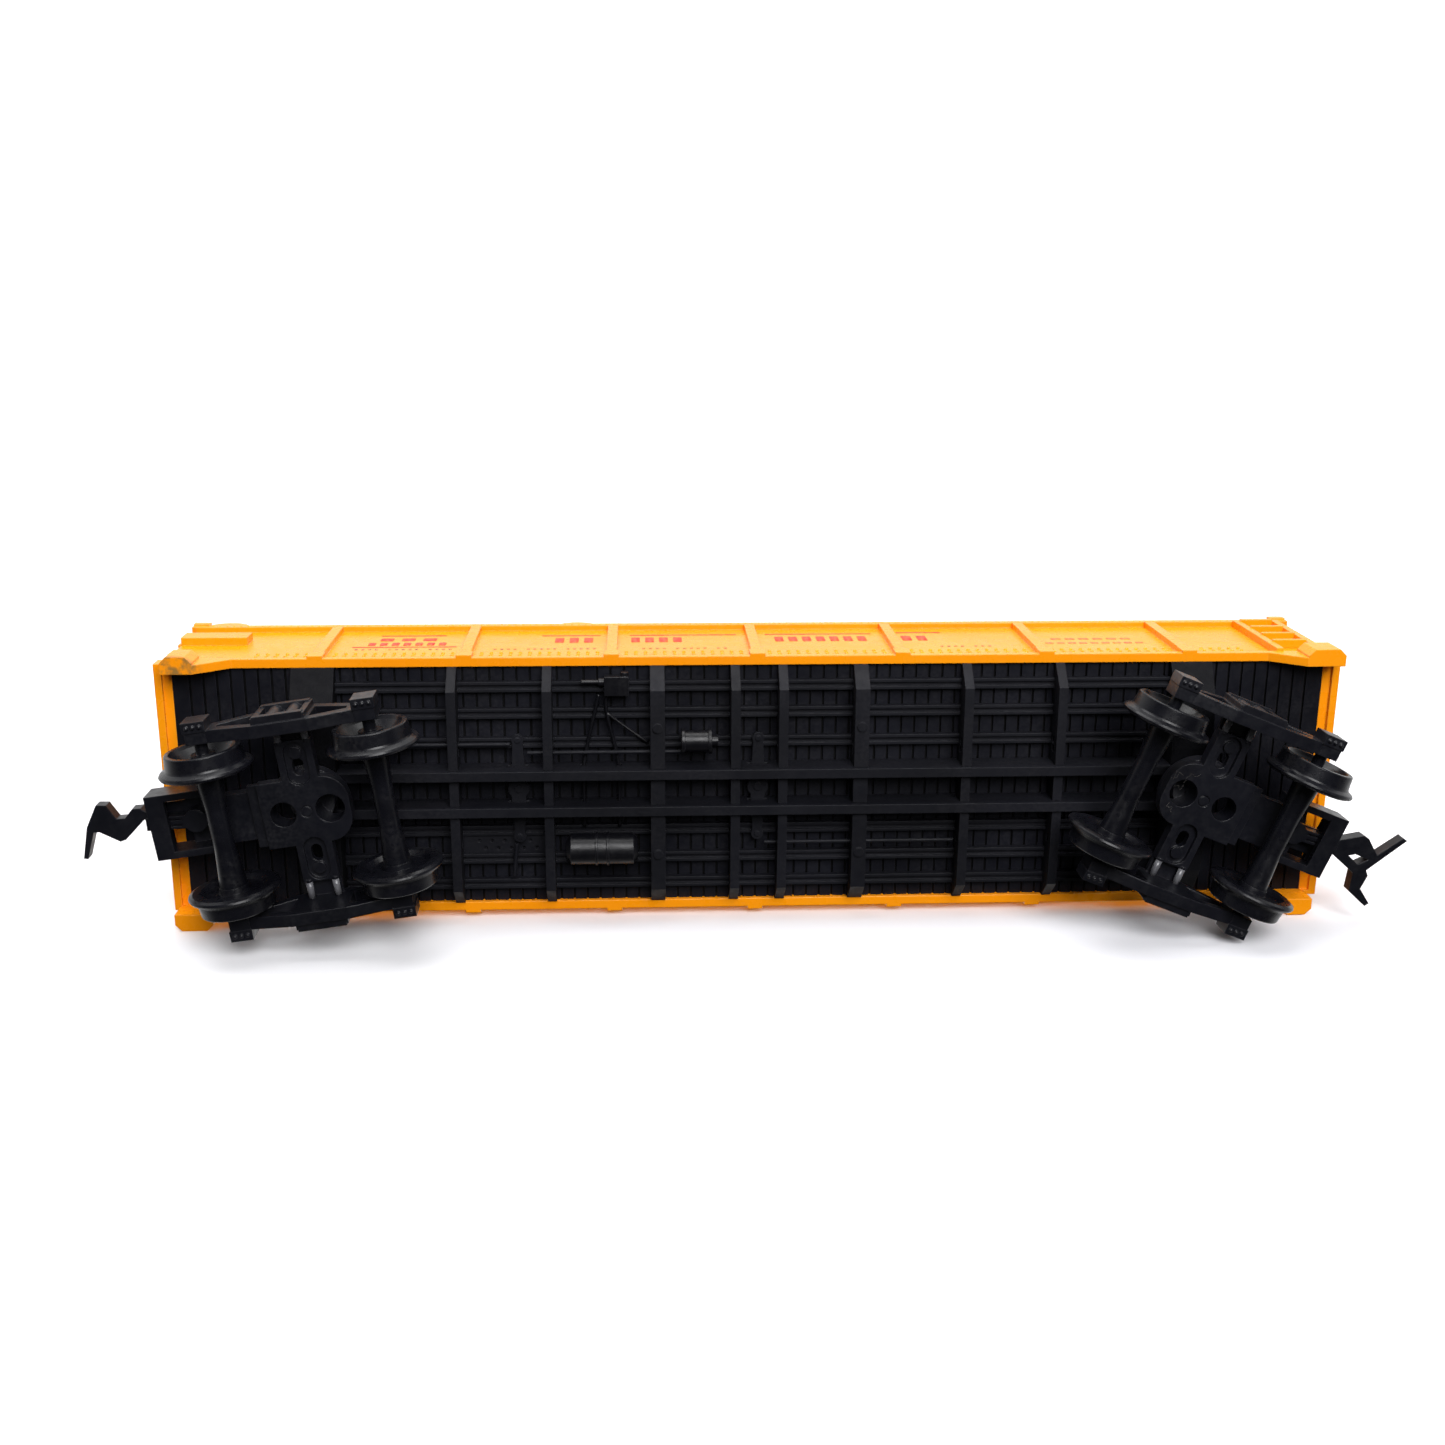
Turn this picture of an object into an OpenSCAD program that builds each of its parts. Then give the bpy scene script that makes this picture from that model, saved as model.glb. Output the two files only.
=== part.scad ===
// Ribbed gondola car, 1:87 scale, 16.5 mm gauge, on swivelling trucks that carry the couplers.
// +X runs along the car, +Z is up, and the rail tops lie at z = 0.

/* [Body] */
// Length over the two end sills
body_len = 146.8; // [146:0.2:150]
// Width over the side panels
panel_w = 32; // [31.6:0.1:33]
// Height of the side sill's lower edge above the rails
sill_z = 15.3; // [15.2:0.1:16]
// Height of the top chord above the rails
top_z = 33.4; // [31:0.1:35]
// Distance from one side post to the next
post_pitch = 18; // [17:0.1:18.2]
// Width of a side post
post_w = 1.3; // [1.1:0.1:2]

/* [Underframe] */
// Length of the black floor
floor_len = 142.8; // [142:0.1:143]
// Width of the black floor
floor_w = 30.9; // [30.4:0.1:30.9]
// Distance from one floor plank to the next
plank_pitch = 1.65; // [1.5:0.05:2]
// Height of the crossbearers' lower edge above the rails
bearer_z = 12.3; // [12.2:0.1:12.6]

/* [Trucks] */
// Distance between the two kingpins
truck_centres = 108.6; // [107:0.2:110]
// Distance between the axles of a truck
wheelbase = 19.6; // [19.2:0.1:20]
// Mean radius of a wheel's tread
wheel_r = 4.5; // [4.4:0.05:4.6]
// Distance between the backs of a wheel pair
back_to_back = 14.5; // [14.3:0.1:14.6]
// Parked yaw of the front truck, at the +X end
front_yaw = 22; // [-28:1:28]
// Parked yaw of the rear truck, at the -X end
rear_yaw = -8; // [-28:1:28]

/* [Couplers] */
// Parked swing of the front coupler
front_swing = -4; // [-8:1:8]
// Parked swing of the rear coupler
rear_swing = 4; // [-8:1:8]

/* [Hidden] */
$fn = 48;

// colours
shell_colour = "orange";
black_colour = "#2a2a30";
steel_colour = "silver";

// body shell
half_len = body_len / 2;
half_panel = panel_w / 2;
end_wall_x = half_len - 0.9;
sill_y = half_panel + 0.55;
chord_y = half_panel + 0.7;
block_y = half_panel + 1.6;
wall_t = 0.95;
chord_h = 1.2;
sill_h = 0.9;
sill_drop = 3;
drop_start = half_len - 9.4;
drop_end = half_len - 5.4;
block_x = half_len - 1.6;
block_cut = 0.8;
block_extra = 0.9;
half_floor_w = floor_w / 2;
half_floor_len = floor_len / 2;
recess_top = sill_z + 2.6;
load_floor_z = recess_top + 0.8;
load_half_len = end_wall_x - 1.0;
end_wall_bottom = sill_z + 0.5;
post_count = 7;
post_proud = 0.75;
foot_w = 1.9;
foot_h = 1.3;
end_rib_proud = 0.5;
end_rib_h = 1.1;
lug_r = 3;

// floor and underframe
floor_z = sill_z + 0.6;
floor_top = floor_z + 1.0;
groove_w = 0.28;
groove_d = 0.3;
rail_in = 1.75;
rail_out = 2.95;
rail_z = bearer_z - 0.5;
wide_bearers = [-12.4, 12.8];
thin_bearers = [-37.5, -25.9, -2.8, 3.1, 26.0, 37.7];
wide_bearer_w = 1.8;
thin_bearer_w = 1.15;
bearer_taper = 2.5;
bearer_tip_z = sill_z - 0.2;
stringer_rows = [5.75, 9.5, 12.9];
stringer_w = 1.3;
stringer_z = floor_z - 0.9;
bolster_w = 5.2;
bolster_z = bearer_z - 0.1;
pivot_x = truck_centres / 2;
run_half = pivot_x - bolster_w / 2;
kingpin_r = 1.5;
kingpin_clear = 0.06;
head_r = 1.95;
head_room_r = 2.5;

// brake gear
cylinder_pos = [-7.6, -6.3, 13.3];
reservoir_pos = [-19.4, 7.6, 13.1];
valve_pos = [-17.4, -13.2, 13.7];
lever_front_x = 0.1;
lever_rear_x = -29.7;
lever_z = 14.3;
lever_t = 0.5;
lever_reach = 6.3;
rod_z = 14.02;
rod_r = 0.25;
pipe_r = 0.24;
pipe_z = 14.6;
elbow_extra = 0.07;
rod_lines = [-5.85, -4.75, 7.3];
pipe_cross_x = [-21.6, -17.2];

// trucks
axle_u = wheelbase / 2;
axle_z = wheel_r;
half_gap = back_to_back / 2;
plate_z = 6.6;
plate_top = plate_z + 1.6;
arm_w = 4.3;
arm_end = 8.9;
frame_in = 11.0;
frame_out = 12.5;
lid_in = 12.4;
lid_out = 13.7;
box_u0 = 11.2;
box_u1 = 19.2;
box_half_w = 4.05;
box_z0 = 8.2;
box_z1 = 11.8;
box_skin = 0.8;
window_u0 = 12.1;
window_u1 = 17.0;
mouth_half_w = 3.2;
roof_slot_u0 = 15.2;
roof_slot_u1 = 17.7;
coupler_u = 14;
coupler_z0 = 9.15;
coupler_z1 = 10.85;
head_z0 = 9.2;
head_z1 = 10.8;
coupler_pin_r = 0.6;
slack = 0.05;
bearing_r = 0.8;
stub_r = 0.75;
axle_r = 1.1;
axle_waist_r = 1.25;
axle_flare_r = 1.65;
stub_start = 9.5;
axle_half = 12.2;

// ---------- helpers ----------

// box from its low corner to its high corner
module span(low, high) {
    translate(low)
        cube(high - low);
}

// copies on both sides of the car's middle plane
module both_sides() {
    children();
    mirror([0, 1, 0])
        children();
}

// copies at both ends of the car
module both_ends() {
    children();
    mirror([1, 0, 0])
        children();
}

// slot with round ends, along Y from y0 to y1
module slot_2d(width, y0, y1) {
    translate([-width / 2, y0 + width / 2])
        square([width, y1 - y0 - width]);
    translate([0, y0 + width / 2])
        circle(d = width);
    translate([0, y1 - width / 2])
        circle(d = width);
}

// round rod between two points
module rod(a, b, r) {
    run = b - a;
    flat = norm([run[0], run[1]]);
    translate(a)
        rotate([0, atan2(flat, run[2]), atan2(run[1], run[0])])
            cylinder(r = r, h = norm(run), $fn = 16);
}

// flat plan of a pipe with a round elbow at each of its bends
module pipe_2d(points, r) {
    for (i = [0 : len(points) - 2]) {
        run = points[i + 1] - points[i];
        translate(points[i])
            rotate(atan2(run[1], run[0]))
                translate([0, -r])
                    square([norm(run), 2 * r]);
    }
    for (i = [1 : 1 : len(points) - 2])
        translate(points[i])
            circle(r = r + elbow_extra, $fn = 24);
}

// cylinder along X, from its low end
module x_cylinder(r, h) {
    rotate([0, 90, 0])
        cylinder(r = r, h = h);
}

// cylinder along Y, between two places
module y_cylinder(r, y0, y1) {
    translate([0, y0, 0])
        rotate([-90, 0, 0])
            cylinder(r = r, h = y1 - y0);
}

// a flat shape in the X and Z directions, given a thickness along Y
module upright(y0, y1) {
    translate([0, y1, 0])
        rotate([90, 0, 0])
            linear_extrude(y1 - y0)
                children();
}

// places a shape drawn in a truck's own frame, whose +X points to its coupler
module at_truck(end, yaw) {
    translate([end * pivot_x, 0, 0])
        rotate([0, 0, yaw + (end < 0 ? 180 : 0)])
            children();
}

// swings a shape about the coupler's pivot, in the truck's own frame
module swung(angle) {
    translate([coupler_u, 0, 0])
        rotate([0, 0, angle])
            translate([-coupler_u, 0, 0])
                children();
}

// ---------- body shell ----------

// one side sill seen from the side: its lower edge drops at both ends
module sill_profile() {
    polygon([[-block_x, sill_z - sill_drop], [-drop_end, sill_z - sill_drop],
             [-drop_start, sill_z], [drop_start, sill_z],
             [drop_end, sill_z - sill_drop], [block_x, sill_z - sill_drop],
             [block_x, sill_z + sill_h], [-block_x, sill_z + sill_h]]);
}

module side_sill() {
    upright(half_floor_w, sill_y)
        sill_profile();
}

// one vertical post with its foot
module side_post() {
    span([-post_w / 2, half_panel - 0.1, sill_z + sill_h],
         [post_w / 2, half_panel + post_proud, top_z - chord_h]);
    span([-foot_w / 2, half_panel - 0.1, sill_z],
         [foot_w / 2, half_panel + post_proud + 0.15, sill_z + sill_h + foot_h]);
}

// thick block under each corner, with its outer corner cut off
module corner_block(end_x) {
    translate([0, 0, sill_z - sill_drop])
        linear_extrude(sill_drop + sill_h)
            polygon([[drop_end, half_floor_w], [end_x, half_floor_w],
                     [end_x, block_y - block_cut], [end_x - block_cut, block_y],
                     [drop_end + block_cut, block_y], [drop_end, block_y - block_cut]]);
}

// raised box-shaped stiffener high on one end panel
module panel_stiffener() {
    stiffener_z = sill_z + 9.7;
    span([half_len - 9.2, half_panel - 0.1, stiffener_z],
         [end_wall_x, half_panel + 1.0, stiffener_z + 3]);
}

module end_ribs() {
    for (z = [sill_z + 5, sill_z + 10])
        span([end_wall_x - 0.1, -half_panel, z],
             [end_wall_x + end_rib_proud, half_panel, z + end_rib_h]);
    span([end_wall_x - 0.1, -chord_y, top_z - end_rib_h],
         [end_wall_x + end_rib_proud, chord_y, top_z]);
}

// small cap that stands up at the end of the top chord
module corner_cap() {
    span([end_wall_x - 1.6, half_panel - wall_t, top_z - 0.1],
         [end_wall_x + end_rib_proud, chord_y + 0.2, top_z + 1.0]);
}

// low round-topped lug on the top chord
module chord_lug(x, height) {
    upright(half_panel - wall_t, chord_y)
        intersection() {
            translate([x, top_z + height - lug_r])
                circle(r = lug_r);
            translate([x - lug_r, top_z - 0.1])
                square([2 * lug_r, lug_r]);
        }
}

// pieces of one side: sill, top chord, posts and lugs
module side_dress() {
    side_sill();
    span([-end_wall_x, half_panel - 0.1, top_z - chord_h], [end_wall_x, chord_y, top_z]);
    for (i = [0 : post_count - 1])
        translate([(i - (post_count - 1) / 2) * post_pitch, 0, 0])
            side_post();
}

module corner_dress() {
    corner_block(block_x);
    corner_cap();
}

module body_shell() {
    color(shell_colour)
        difference() {
            union() {
                span([-end_wall_x, -half_panel, end_wall_bottom],
                     [end_wall_x, half_panel, top_z]);
                both_sides()
                    side_dress();
                both_ends() {
                    both_sides()
                        corner_dress();
                    end_ribs();
                    span([half_floor_len, -half_panel, sill_z],
                         [half_len, half_panel, sill_z + 2.4]);
                }
                for (turn = [0, 180])
                    rotate([0, 0, turn])
                        diagonal_corners();
            }
            span([-load_half_len, -half_panel + wall_t, load_floor_z],
                 [load_half_len, half_panel - wall_t, top_z + 3]);
            span([-half_floor_len, -half_floor_w, sill_z - sill_drop - 1],
                 [half_floor_len, half_floor_w, recess_top]);
            both_ends()
                span([half_floor_len - 1, -half_floor_w, sill_z - 1],
                     [end_wall_x, half_floor_w, end_wall_bottom]);
        }
}

// what differs between the corners: a stiffener and two lugs on the +X, +Y one,
// and a longer block under the +X, -Y one
module diagonal_corners() {
    mirror([0, 1, 0])
        corner_block(block_x + block_extra);
    panel_stiffener();
    chord_lug(half_len - 5, 1.5);
    chord_lug(half_len - 50.6, 0.8);
}

// ladder at the +X, -Y corner: two stiles and four steps on the side panel
module side_ladder() {
    left = half_len - 8;
    right = half_len - 1.9;
    base = sill_z + sill_h;
    step_gap = 3.9;
    for (x = [left, right - 0.9])
        span([x, -half_panel - 0.9, base], [x + 0.9, -half_panel, top_z - chord_h]);
    for (i = [1 : 4])
        span([left + 0.9, -half_panel - 1.1, base + i * step_gap - 0.3],
             [right - 0.9, -half_panel, base + i * step_gap + 0.3]);
}

module side_ladder_front() {
    color(shell_colour)
        side_ladder();
}

module side_ladder_rear() {
    color(shell_colour)
        rotate([0, 0, 180])
            side_ladder();
}

// ---------- floor and underframe ----------

module ballast_weight() {
    color(steel_colour)
        span([-60, -12.5, floor_top], [60, 12.5, recess_top]);
}

module underframe_floor() {
    groove_count = floor(floor_len / plank_pitch) - 1;
    color(black_colour)
        difference() {
            span([-half_floor_len, -half_floor_w, floor_z],
                 [half_floor_len, half_floor_w, floor_top]);
            for (i = [0 : groove_count - 1])
                translate([(i - (groove_count - 1) / 2) * plank_pitch - groove_w / 2, 0, 0])
                    span([0, -half_floor_w - 1, floor_z - 1],
                         [groove_w, half_floor_w + 1, floor_z + groove_d]);
            for (end = [-1, 1])
                translate([end * pivot_x, 0, floor_z - 1])
                    cylinder(r = head_room_r, h = 3);
        }
}

// the two long rails, slotted for the levers and drilled for the pipes
module centre_sill() {
    color(black_colour)
        difference() {
            both_sides()
                span([-run_half, rail_in, rail_z], [run_half, rail_out, floor_z]);
            for (x = [lever_front_x, lever_rear_x])
                span([x - 1.3, -rail_out - 1, lever_z - 0.15],
                     [x + 1.3, rail_out + 1, lever_z + lever_t + 0.1]);
            for (x = pipe_cross_x)
                span([x - pipe_r - 0.1, -rail_out - 1, pipe_z - pipe_r - 0.1],
                     [x + pipe_r + 0.1, rail_out + 1, pipe_z + pipe_r + 0.1]);
        }
}

// one half of a crossbearer's outline, from the centre sill out to the side
module bearer_profile() {
    polygon([[rail_out, bearer_z], [half_floor_w - bearer_taper, bearer_z + 0.2],
             [half_floor_w, bearer_tip_z], [half_floor_w, floor_z], [rail_out, floor_z]]);
}

module crossbearer(x, width) {
    translate([x - width / 2, 0, 0])
        rotate([90, 0, 90])
            linear_extrude(width) {
                bearer_profile();
                mirror([1, 0])
                    bearer_profile();
                translate([-rail_in, bearer_z + 0.3])
                    square([2 * rail_in, floor_z - bearer_z - 0.3]);
            }
}

module crossbearers() {
    color(black_colour)
        difference() {
            union() {
                for (x = wide_bearers) {
                    crossbearer(x, wide_bearer_w);
                    for (y = [-8.2, 8.2])
                        translate([x, y, bearer_z - 0.12])
                            cylinder(r = 0.6, h = 0.5);
                }
                for (x = thin_bearers)
                    crossbearer(x, thin_bearer_w);
            }
            both_sides()
                for (y = stringer_rows)
                    span([-run_half, y - stringer_w / 2, stringer_z],
                         [run_half, y + stringer_w / 2, floor_z + 1]);
            for (y = rod_lines)
                span([-run_half, y - 0.45, rod_z - 0.45], [run_half, y + 0.45, rod_z + 0.45]);
        }
}

module stringers() {
    color(black_colour)
        difference() {
            both_sides()
                for (y = stringer_rows)
                    span([-run_half, y - stringer_w / 2, stringer_z],
                         [run_half, y + stringer_w / 2, floor_z]);
            both_sides()
                for (y = stringer_rows)
                    span([-run_half - 1, y - 0.25, stringer_z - 1],
                         [run_half + 1, y + 0.25, stringer_z + 0.3]);
        }
}

// transverse beam over a truck, bored for the kingpin
module body_bolster(end) {
    color(black_colour)
        difference() {
            translate([end * pivot_x - bolster_w / 2, 0, 0])
                rotate([90, 0, 90])
                    linear_extrude(bolster_w)
                        polygon([[-half_floor_w, floor_z], [-half_floor_w, bearer_tip_z],
                                 [-half_floor_w + bearer_taper + 1.5, bolster_z + 0.6],
                                 [-5, bolster_z], [5, bolster_z],
                                 [half_floor_w - bearer_taper - 1.5, bolster_z + 0.6],
                                 [half_floor_w, bearer_tip_z], [half_floor_w, floor_z]]);
            translate([end * pivot_x, 0, bolster_z - 1])
                cylinder(r = kingpin_r + kingpin_clear, h = 6);
            translate([end * pivot_x, 0, sill_z])
                cylinder(r = head_room_r, h = 6);
        }
}

module body_bolster_front() {
    body_bolster(1);
}

module body_bolster_rear() {
    body_bolster(-1);
}

// ---------- brake gear ----------

module brake_cylinder() {
    length = 3.7;
    color(black_colour)
        translate(cylinder_pos) {
            translate([-length / 2, 0, 0])
                x_cylinder(1.35, length);
            for (x = [-length / 2, length / 2 - 0.4])
                translate([x, 0, 0])
                    x_cylinder(1.6, 0.4);
            translate([length / 2, 0, 0])
                x_cylinder(0.65, 0.8);
            span([-1.1, -0.2, 0.9], [1.1, 1.0, stringer_z - cylinder_pos[2]]);
        }
}

module air_reservoir() {
    half = 4.5;
    r = 1.95;
    color(black_colour)
        translate(reservoir_pos) {
            rotate([0, 90, 0])
                rotate_extrude()
                    polygon([[0, -half], [r * 0.7, -half + 0.1], [r, -half + 0.6],
                             [r, half - 0.6], [r * 0.7, half - 0.1], [0, half]]);
            for (x = [-0.85, 0.55])
                translate([x, 0, 0])
                    x_cylinder(r + 0.15, 0.3);
            span([-1.2, -0.6, 0], [1.2, 0.6, floor_z - reservoir_pos[2]]);
        }
}

module control_valve() {
    color(black_colour)
        translate(valve_pos) {
            span([-1.5, -1.2, 0], [1.5, 1.2, stringer_z - valve_pos[2]]);
            translate([1.0, -1.2, 0.65])
                rotate([90, 0, 0])
                    cylinder(r = 0.5, h = 0.5);
            translate([-4.3, -0.4, 0.8])
                x_cylinder(0.3, 2.9);
            translate([-2.2, -0.4, 0.8])
                x_cylinder(0.5, 0.8);
        }
}

// flat lever across the car: a disc in the middle and two tapering arms
module brake_lever(x) {
    arm_root = 0.95;
    arm_tip = 0.6;
    color(black_colour)
        translate([x, 0, lever_z]) {
            linear_extrude(lever_t) {
                circle(r = 1.3);
                polygon([[-arm_tip, -lever_reach], [arm_tip, -lever_reach], [arm_root, 0],
                         [arm_tip, lever_reach], [-arm_tip, lever_reach], [-arm_root, 0]]);
                for (y = [-lever_reach, lever_reach])
                    translate([0, y])
                        circle(r = 0.75);
            }
            translate([0, 0, -0.12])
                cylinder(r = 0.5, h = floor_z - lever_z + 0.12);
            for (y = [-lever_reach, lever_reach])
                translate([0, y, -0.15])
                    cylinder(r = 0.35, h = 0.3);
        }
}

module brake_lever_front() {
    brake_lever(lever_front_x);
}

module brake_lever_rear() {
    brake_lever(lever_rear_x);
}

module brake_rods() {
    cylinder_end = cylinder_pos[0] - 1.85;
    color(black_colour) {
        translate([-run_half, rod_lines[0], rod_z])
            x_cylinder(rod_r, run_half + lever_rear_x - 0.9);
        translate([lever_rear_x + 1.2, rod_lines[1], rod_z])
            x_cylinder(rod_r, cylinder_end - lever_rear_x - 1.2);
        translate([lever_front_x + 0.9, rod_lines[2], rod_z])
            x_cylinder(rod_r, 24);
        rod([lever_rear_x - 0.4, lever_reach + 0.8, rod_z],
            [lever_rear_x - 0.8, lever_reach + 5, rod_z], rod_r);
    }
}

module brake_pipes() {
    left = pipe_cross_x[0];
    right = pipe_cross_x[1];
    color(black_colour)
        translate([0, 0, pipe_z - pipe_r])
            linear_extrude(2 * pipe_r) {
                pipe_2d([[-19.6, -12], [-20.2, -9.8], [left, -3.4], [left, 5.2]], pipe_r);
                pipe_2d([[-18.6, -12], [-18.6, -9.4], [right, -3.4], [right, 5.2]], pipe_r);
                pipe_2d([[-18.6, -9.6], [wide_bearers[0] - 1.2, -5.8]], pipe_r);
            }
}

// plate between two stringers with two rows of small holes
module drilled_plate() {
    x0 = thin_bearers[0] + thin_bearer_w / 2;
    x1 = thin_bearers[1] - thin_bearer_w / 2;
    y0 = stringer_rows[0] + stringer_w / 2;
    y1 = stringer_rows[1] - stringer_w / 2;
    color(black_colour)
        difference() {
            span([x0, y0, floor_z - 0.6], [x1, y1, floor_z]);
            for (i = [0 : 4])
                for (j = [0, 1])
                    translate([x0 + 2.0 + (i + j / 2) * 1.6, y0 + 0.75 + j, floor_z - 1])
                        cylinder(r = 0.22, h = 0.8);
        }
}

// ---------- trucks ----------

// outline of the middle plate: one straight edge, one round end, two arms
module plate_2d() {
    corner_r = 3;
    plate_half_w = 4.1;
    straight_u = 5.3;
    round_u = -5.2;
    translate([round_u + corner_r, -plate_half_w])
        square([straight_u - round_u - corner_r, 2 * plate_half_w]);
    translate([round_u, -plate_half_w + corner_r])
        square([corner_r, 2 * (plate_half_w - corner_r)]);
    for (v = [-plate_half_w + corner_r, plate_half_w - corner_r])
        translate([round_u + corner_r, v])
            circle(r = corner_r);
    translate([-arm_w / 2, -arm_end])
        square([arm_w, 2 * arm_end]);
}

module middle_plate() {
    difference() {
        union() {
            translate([0, 0, plate_z])
                linear_extrude(plate_top - plate_z)
                    plate_2d();
            cylinder_step(4.9, plate_top - 0.1, plate_top + 1.6);
            cylinder_step(2.7, plate_top, bolster_z - 0.1);
            cylinder_step(kingpin_r, plate_top, sill_z + 0.15);
            cylinder_step(head_r, sill_z + 0.15, sill_z + 1.1);
        }
        translate([2.8, 0, plate_z - 1])
            cylinder(r = 1.55, h = 4.5);
        translate([-2.8, 0, plate_z - 1])
            cylinder(r = 1.75, h = 4.5);
        difference() {
            translate([0, 0, plate_z - 1])
                cylinder(r = 0.75, h = 1.15);
            translate([0, 0, plate_z - 2])
                cylinder(r = 0.6, h = 3);
        }
        both_sides() {
            translate([0, 0, plate_z - 1])
                linear_extrude(1.6)
                    slot_2d(2.7, 3.3, 8.7);
            translate([0, 0, plate_z - 1])
                linear_extrude(4)
                    slot_2d(1.35, 4.4, 6.5);
        }
    }
    both_sides()
        translate([0, 7.3, plate_z + 0.2])
            cylinder(r = 0.75, h = 0.5);
}

// upright cylinder between two heights
module cylinder_step(r, z0, z1) {
    translate([0, 0, z0])
        cylinder(r = r, h = z1 - z0);
}

// one side of the truck, seen from the side: two chords and a middle column
module arch_profile() {
    difference() {
        polygon([[-8.8, 3.1], [-3.4, 2.0], [3.4, 2.0], [8.8, 3.1],
                 [8.8, 5.9], [3.0, 8.6], [-3.0, 8.6], [-8.8, 5.9]]);
        for (side = [-1, 1])
            polygon([[side * 7.6, 4.3], [side * 3.4, 3.2],
                     [side * 3.4, 7.2], [side * 7.6, 5.2]]);
    }
}

module side_frame() {
    upright(frame_in, frame_out)
        arch_profile();
    // web and two pins from the arm to the frame
    span([-arm_w / 2, arm_end - 0.1, plate_z + 0.9], [arm_w / 2, frame_in + 0.1, plate_top]);
    for (u = [-1.6, 1.6])
        translate([u, 0, plate_z + 0.2])
            y_cylinder(0.4, arm_end - 0.3, frame_in + 0.1);
    // spring group between its two columns
    for (u = [-1.15, 1.15])
        translate([u, frame_out - 0.1, 0])
            cylinder_step(0.85, 3.2, 7.2);
    for (u = [-2.75, 2.75])
        span([u - 0.35, frame_out - 0.1, 2.4], [u + 0.35, frame_out + 0.7, 8.2]);
    span([-2.9, frame_out - 0.1, 2.3], [2.9, frame_out + 0.9, 3.2]);
    span([-2.9, frame_out - 0.1, 7.2], [2.9, frame_out + 0.9, 8.0]);
    span([-2.2, frame_out - 0.5, 8.0], [2.2, frame_out + 0.5, 9.7]);
    for (u = [-axle_u, axle_u])
        translate([u, 0, 0])
            journal_box();
}

// journal box with its lid, bored for the axle end
module journal_box() {
    difference() {
        union() {
            span([-1.2, frame_in, 2.9], [1.2, lid_in + 0.2, 6.1]);
            span([-1.35, lid_in, 2.8], [1.35, lid_out, 5.9]);
            for (x = [-0.75, 0, 0.75])
                translate([x, (lid_in + lid_out) / 2, 2.85])
                    sphere(r = 0.3, $fn = 24);
        }
        translate([0, 0, axle_z])
            y_cylinder(bearing_r, frame_in - 1, axle_half + 0.3);
    }
}

// coupler box on its neck: open in front, with a window underneath and two unequal slots
// in its roof
module coupler_box() {
    difference() {
        span([box_u0, -box_half_w, box_z0], [box_u1, box_half_w, box_z1]);
        span([window_u0, -mouth_half_w, box_z0 + box_skin],
             [box_u1 + 1, mouth_half_w, box_z1 - box_skin]);
        span([window_u0, -mouth_half_w, box_z0 - 1], [window_u1, mouth_half_w, box_z0 + 2]);
        span([roof_slot_u0, -mouth_half_w, box_z1 - 2], [roof_slot_u1, -1.1, box_z1 + 1]);
        span([roof_slot_u0, 2.3, box_z1 - 2], [roof_slot_u1, mouth_half_w, box_z1 + 1]);
        translate([coupler_u, 0, box_z1 - 2])
            cylinder(r = coupler_pin_r, h = 3);
    }
    span([5.2, -3.0, 7.9], [box_u0 + 0.1, 3.0, 9.6]);
    span([5.2, -3.9, 7.3], [6.6, 3.9, 8.2]);
}

module truck_frame(end, yaw) {
    color(black_colour)
        at_truck(end, yaw) {
            middle_plate();
            both_sides()
                side_frame();
            coupler_box();
        }
}

module coupler_pin(end, yaw) {
    color(black_colour)
        at_truck(end, yaw)
            translate([coupler_u, 0, 0]) {
                cylinder_step(coupler_pin_r, coupler_z0 + 0.45, box_z1);
                cylinder_step(1.1, box_z1, box_z1 + 0.25);
            }
}

// plan of the front coupler's head: a hook on one side and a horn on the other
module front_head_2d() {
    difference() {
        polygon([[19.8, -0.8], [22.6, -2.3], [23.4, -2.1], [25.3, -0.4], [27.6, -3.5],
                 [28.2, -3.3], [24.8, 1.9], [25.3, 2.5], [25.1, 4.4], [27.0, 5.9],
                 [26.6, 6.4], [23.8, 5.1], [23.3, 2.7], [19.8, 1.2]]);
        polygon([[21.8, 0.7], [22.6, 0.3], [24.5, 0.5], [23.4, 1.5]]);
    }
}

// plan of the rear coupler's head, whose shorter hook ends in a thin blade
module rear_head_2d() {
    polygon([[18.9, -0.7], [20.0, 0.7], [22.6, -1.7], [23.3, -1.9], [25.6, -0.5],
             [26.3, -0.5], [27.5, -3.8], [28.0, -3.7], [27.0, 0.2], [25.5, 2.9],
             [24.3, 2.8], [23.3, 1.0], [22.3, 1.0], [21.3, 2.1], [20.3, 2.1], [18.9, 0.8]]);
}

// coupler with its shank in the box; its head is the flat shape it is given
module coupler(end, yaw, swing) {
    color(black_colour)
        at_truck(end, yaw)
            swung(swing)
                difference() {
                    union() {
                        translate([coupler_u, 0, 0])
                            cylinder_step(1.45, coupler_z0, coupler_z1);
                        span([coupler_u, -0.8, coupler_z0], [coupler_u + 5.9, 0.8, coupler_z1]);
                        translate([0, 0, head_z0])
                            linear_extrude(head_z1 - head_z0)
                                children();
                    }
                    translate([coupler_u, 0, coupler_z0 + 0.35])
                        cylinder(r = coupler_pin_r + slack, h = 3);
                    for (v = [-0.35, 0.35])
                        span([coupler_u + 1.6, v - 0.1, coupler_z0 - 1],
                             [18.6, v + 0.1, coupler_z0 + 0.3]);
                }
}

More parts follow.
